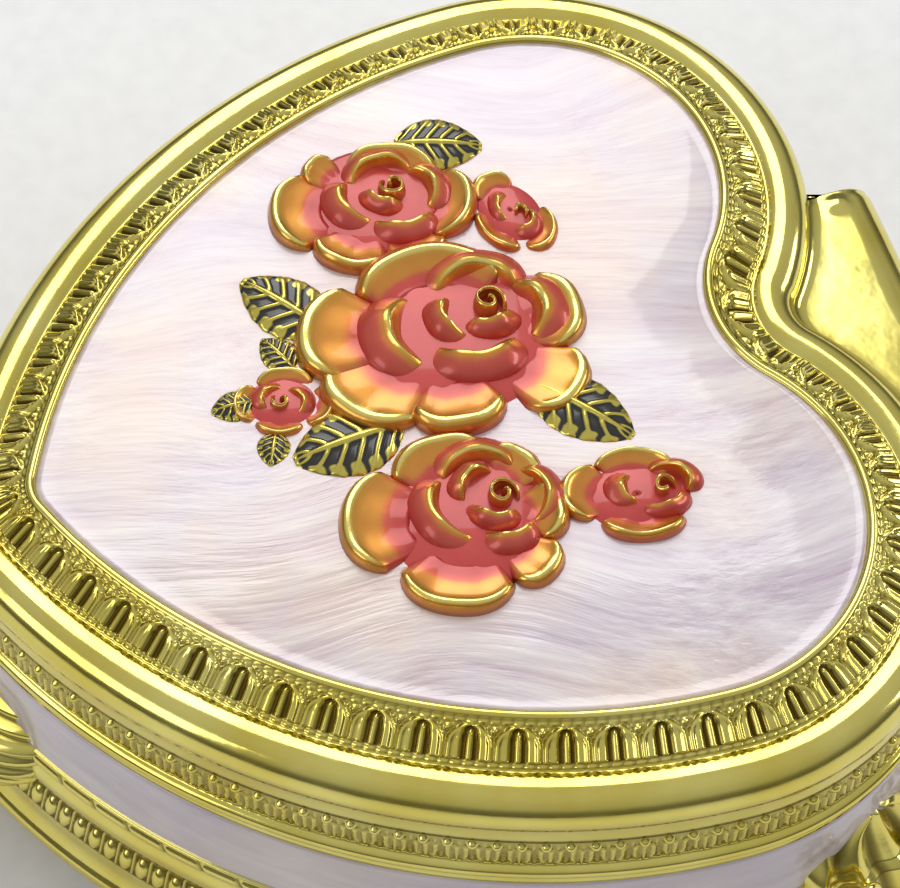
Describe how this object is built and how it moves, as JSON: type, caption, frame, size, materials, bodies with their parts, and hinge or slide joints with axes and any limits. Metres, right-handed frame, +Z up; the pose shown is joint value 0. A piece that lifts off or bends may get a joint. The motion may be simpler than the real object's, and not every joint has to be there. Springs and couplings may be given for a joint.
{
  "type": "wind-up music box",
  "caption": "Heart-shaped footed music box: hinged enamelled lid with a rose spray, velvet compartment, wind-up pinned-cylinder movement under a clear cover, key below.",
  "frame": {"origin": "on the surface it stands on, midway between the front toe and the back of the hinge, on the plane of symmetry", "axes": "+Z up, +Y to the hinge at the cleft, -Y to the heart's point, +X to the side that holds the movement"},
  "size_m": [0.1192, 0.1162, 0.0532],
  "materials": {
    "gold_plate": "mirror-polished pale gold plating on cast zinc alloy",
    "pearl_enamel": "streaky pearl-white enamel under clear gloss",
    "rose_enamel": "translucent red enamel over gold relief",
    "mirror": "silvered glass",
    "velvet": "deep red velvet",
    "felt": "black felt",
    "brass": "plain cast and turned brass",
    "steel": "bright steel",
    "spring_steel": "blued spring steel",
    "clear_cover": "clear acrylic"
  },
  "bodies": {
    "case": {"hinge_pin": "steel", "body_shell": "gold_plate", "body_enamel": "pearl_enamel", "body_hinge_block": "gold_plate", "base_plate": "brass", "base_screws": "steel", "foot_front": "gold_plate", "foot_left": "gold_plate", "foot_right": "gold_plate", "foot_screws": "steel", "foot_pads": "felt", "velvet_floor": "velvet", "wall_liner": "velvet", "partition": "velvet", "movement_cover": "clear_cover", "plunger_guide": "brass", "bedplate": "brass", "bedplate_screws": "steel", "comb": "steel", "comb_screws": "steel", "spring_housing": "brass", "mainspring": "spring_steel", "cylinder_bearings": "brass", "governor_bracket": "brass", "governor_screws": "steel"},
    "lid": {"lid_shell": "gold_plate", "lid_enamel": "pearl_enamel", "rose_spray": "rose_enamel", "lid_mirror": "mirror", "mirror_frame": "velvet", "lid_hinge_leaf": "gold_plate"},
    "winder": {"winding_key": "gold_plate", "winding_arbor": "steel", "clutch_spring": "spring_steel"},
    "great_wheel": {"great_wheel": "brass"},
    "cylinder": {"pin_cylinder": "brass", "cylinder_pins": "steel", "cylinder_arbor": "steel", "cylinder_pinion": "brass", "cylinder_gear": "brass"},
    "governor": {"governor_arbor": "steel", "governor_pinion": "brass", "worm_wheel": "brass"},
    "fan": {"worm_screw": "steel", "air_brake": "steel"},
    "stop": {"stop_plunger": "steel"}
  },
  "joints": [
    {"name": "lid_hinge", "type": "hinge", "parent": "case", "child": "lid", "pos_m": [0, 0.05395, 0.0403], "axis": [-1, 0, 0], "range_deg": [0, 95]},
    {"name": "key_wind", "type": "hinge", "parent": "case", "child": "winder", "pos_m": [0.026, 0.00575, 0.005], "axis": [0, 0, 1], "range_deg": [0, 1080]},
    {"name": "great_wheel_turn", "type": "hinge", "parent": "case", "child": "great_wheel", "pos_m": [0.026, 0.00575, 0.02], "axis": [0, 0, 1], "continuous": true},
    {"name": "cylinder_turn", "type": "hinge", "parent": "case", "child": "cylinder", "pos_m": [0.026, 0.025, 0.0245], "axis": [0, 1, 0], "continuous": true},
    {"name": "governor_turn", "type": "hinge", "parent": "case", "child": "governor", "pos_m": [0.03321, 0.038, 0.01945], "axis": [0, 1, 0], "continuous": true},
    {"name": "fan_turn", "type": "hinge", "parent": "case", "child": "fan", "pos_m": [0.02831, 0.04051, 0.02], "axis": [0, 0, 1], "continuous": true},
    {"name": "stop_plunger_lift", "type": "slide", "parent": "case", "child": "stop", "axis": [0, 0, 1], "range_m": [0, 0.0025]}
  ],
  "couplings": [
    {"joint": "cylinder_turn", "follows": "great_wheel_turn", "ratio": 3},
    {"joint": "governor_turn", "follows": "great_wheel_turn", "ratio": -9},
    {"joint": "fan_turn", "follows": "great_wheel_turn", "ratio": 144},
    {"joint": "stop_plunger_lift", "follows": "lid_hinge", "m_per_rad": 0.0015}
  ]
}
